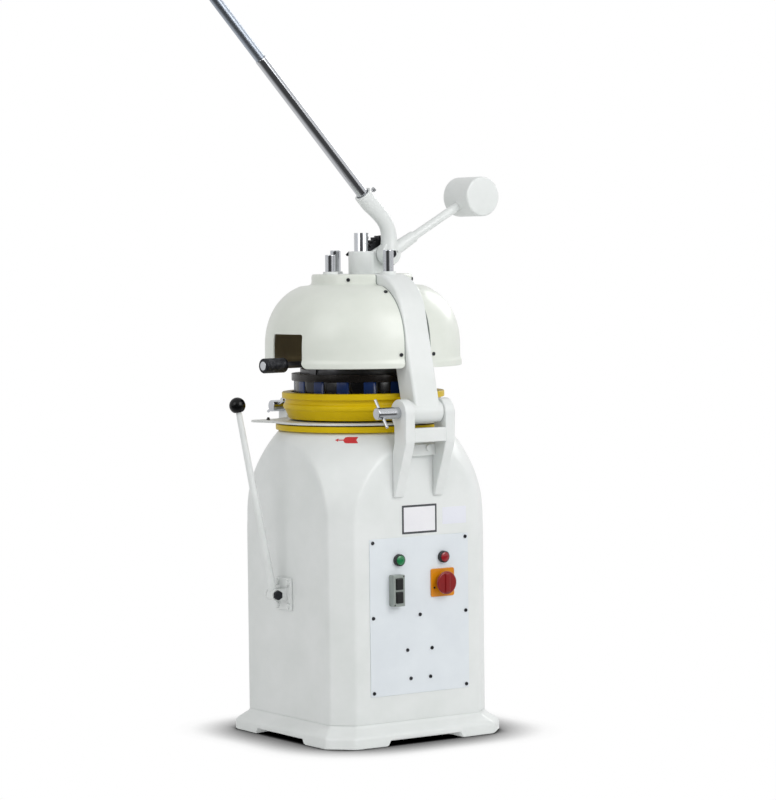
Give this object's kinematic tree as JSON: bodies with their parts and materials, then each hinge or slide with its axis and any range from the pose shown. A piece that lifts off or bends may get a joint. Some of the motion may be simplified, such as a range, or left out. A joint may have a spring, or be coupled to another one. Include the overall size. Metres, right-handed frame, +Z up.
{
  "type": "dough divider rounder",
  "caption": "Floor-standing dough divider rounder: square body, orbiting table, hinged dividing head under a domed cover, rack press lever with counterweight, cut lever and rounding lever.",
  "frame": {"origin": "on the floor, on the machine's vertical axis", "axes": "+Z up; the operator stands at -Y; +X points to the switch panel and the head's hinge"},
  "size_m": [0.6499, 1.0025, 2.1194],
  "materials": {
    "body_paint": "off-white gloss paint",
    "cover_paint": "cream gloss paint",
    "yellow_paint": "yellow gloss paint",
    "motor_paint": "grey-blue paint",
    "table_metal": "satin",
    "steel": "zinc",
    "dark_steel": "blackened",
    "chrome": "polished",
    "cast_iron": "as machined",
    "flange_metal": "dark anodised",
    "bronze": "machined",
    "belt_rubber": "matt",
    "black_plastic": "gloss",
    "grey_plastic": "satin",
    "navy_plastic": "satin",
    "green_plastic": "gloss",
    "red_plastic": "gloss",
    "amber_plastic": "gloss"
  },
  "bodies": {
    "base": {"plinth": "body_paint", "body_casing": "body_paint", "lower_ring": "yellow_paint", "slide_ring": "black_plastic", "deck_plate": "cast_iron", "deck_bolts": "steel", "shaft_bearings": "steel", "motor_bracket": "steel", "motor_bolts": "steel", "motor": "motor_paint", "drive_belt": "belt_rubber", "control_panel": "body_paint", "panel_screws": "dark_steel", "lamp_bezels": "black_plastic", "green_lens": "green_plastic", "red_lens": "red_plastic", "switch_box": "grey_plastic", "main_switch_plate": "amber_plastic", "contactor": "grey_plastic", "cable_gland": "black_plastic", "hinge_bracket": "body_paint", "lock_bracket": "body_paint", "bracket_bolts": "body_paint", "lever_bracket": "body_paint", "lever_pivot_pin": "dark_steel"},
    "crank": {"main_shaft": "steel", "main_pulley": "cast_iron"},
    "rounding_table": {"rounding_table": "table_metal"},
    "rotor": {"motor_shaft": "steel", "motor_pulley": "cast_iron"},
    "hinge_pin": {"hinge_pin": "chrome"},
    "lock_pin": {"lock_pin": "chrome"},
    "start_button": {"start_button": "black_plastic"},
    "stop_button": {"stop_button": "black_plastic"},
    "main_switch": {"main_switch_knob": "red_plastic"},
    "rounding_lever": {"rounding_lever": "body_paint", "lever_knob": "black_plastic"},
    "head_frame": {"head_arm": "body_paint", "hinge_bushes": "bronze", "moulding_ring": "yellow_paint", "front_cover": "cover_paint", "rear_cover": "cover_paint", "cover_screws": "dark_steel", "pinion_housing": "body_paint", "guide_bushes": "body_paint"},
    "press_lever": {"pinion": "dark_steel", "lever_socket": "body_paint", "lever_rod": "chrome", "grip_sleeve": "chrome", "counterweight_rod": "body_paint", "counterweight": "body_paint"},
    "press_head": {"head_flange": "flange_metal", "press_blocks": "navy_plastic", "rack_post": "chrome", "guide_posts": "chrome"},
    "knife_set": {"knife_set": "dark_steel"},
    "cut_lever": {"cut_ring": "steel", "cut_grip": "dark_steel"}
  },
  "joints": [
    {"name": "head_swing", "type": "hinge", "parent": "base", "child": "head_frame", "pos_m": [0.285, 0, 0.887], "axis": [0, 1, 0], "range_deg": [0, 60]},
    {"name": "press_lever_turn", "type": "hinge", "parent": "head_frame", "child": "press_lever", "pos_m": [0, 0.062, 1.31], "axis": [1, 0, 0], "range_deg": [0, 54.8]},
    {"name": "press_slide", "type": "slide", "parent": "head_frame", "child": "press_head", "axis": [0, 0, -1], "range_m": [0, 0.044]},
    {"name": "cut_turn", "type": "hinge", "parent": "press_head", "child": "cut_lever", "pos_m": [0, 0, 0.99], "axis": [0, 0, -1], "range_deg": [0, 11]},
    {"name": "knife_slide", "type": "slide", "parent": "press_head", "child": "knife_set", "axis": [0, 0, -1], "range_m": [0, 0.012]},
    {"name": "rounding_lever_swing", "type": "hinge", "parent": "base", "child": "rounding_lever", "pos_m": [-0.008, -0.295, 0.393], "axis": [1, 0, 0], "range_deg": [0, 35]},
    {"name": "hinge_pin_turn", "type": "hinge", "parent": "base", "child": "hinge_pin", "pos_m": [0.285, 0, 0.887], "axis": [0, 1, 0], "range_deg": [0, 90]},
    {"name": "lock_pin_turn", "type": "hinge", "parent": "base", "child": "lock_pin", "pos_m": [-0.285, 0, 0.887], "axis": [0, 1, 0], "range_deg": [0, 90]},
    {"name": "start_press", "type": "slide", "parent": "base", "child": "start_button", "axis": [-1, 0, 0], "range_m": [0, 0.003], "stiffness_N_per_m": 600},
    {"name": "stop_press", "type": "slide", "parent": "base", "child": "stop_button", "axis": [-1, 0, 0], "range_m": [0, 0.003], "stiffness_N_per_m": 600},
    {"name": "main_switch_turn", "type": "hinge", "parent": "base", "child": "main_switch", "pos_m": [0.262, 0.076, 0.423], "axis": [1, 0, 0], "range_deg": [0, 90]},
    {"name": "crank_spin", "type": "hinge", "parent": "base", "child": "crank", "pos_m": [0, 0, 0.8], "axis": [0, 0, 1], "continuous": true},
    {"name": "table_orbit", "type": "hinge", "parent": "crank", "child": "rounding_table", "pos_m": [-0.008, 0, 0.84], "axis": [0, 0, 1], "continuous": true},
    {"name": "rotor_spin", "type": "hinge", "parent": "base", "child": "rotor", "pos_m": [0, 0.15, 0.69], "axis": [0, 0, 1], "continuous": true}
  ],
  "couplings": [
    {"joint": "press_slide", "follows": "press_lever_turn", "m_per_rad": 0.046},
    {"joint": "knife_slide", "follows": "cut_turn", "m_per_rad": 0.0625},
    {"joint": "table_orbit", "follows": "crank_spin", "ratio": -1},
    {"joint": "rotor_spin", "follows": "crank_spin", "ratio": 2.5}
  ]
}
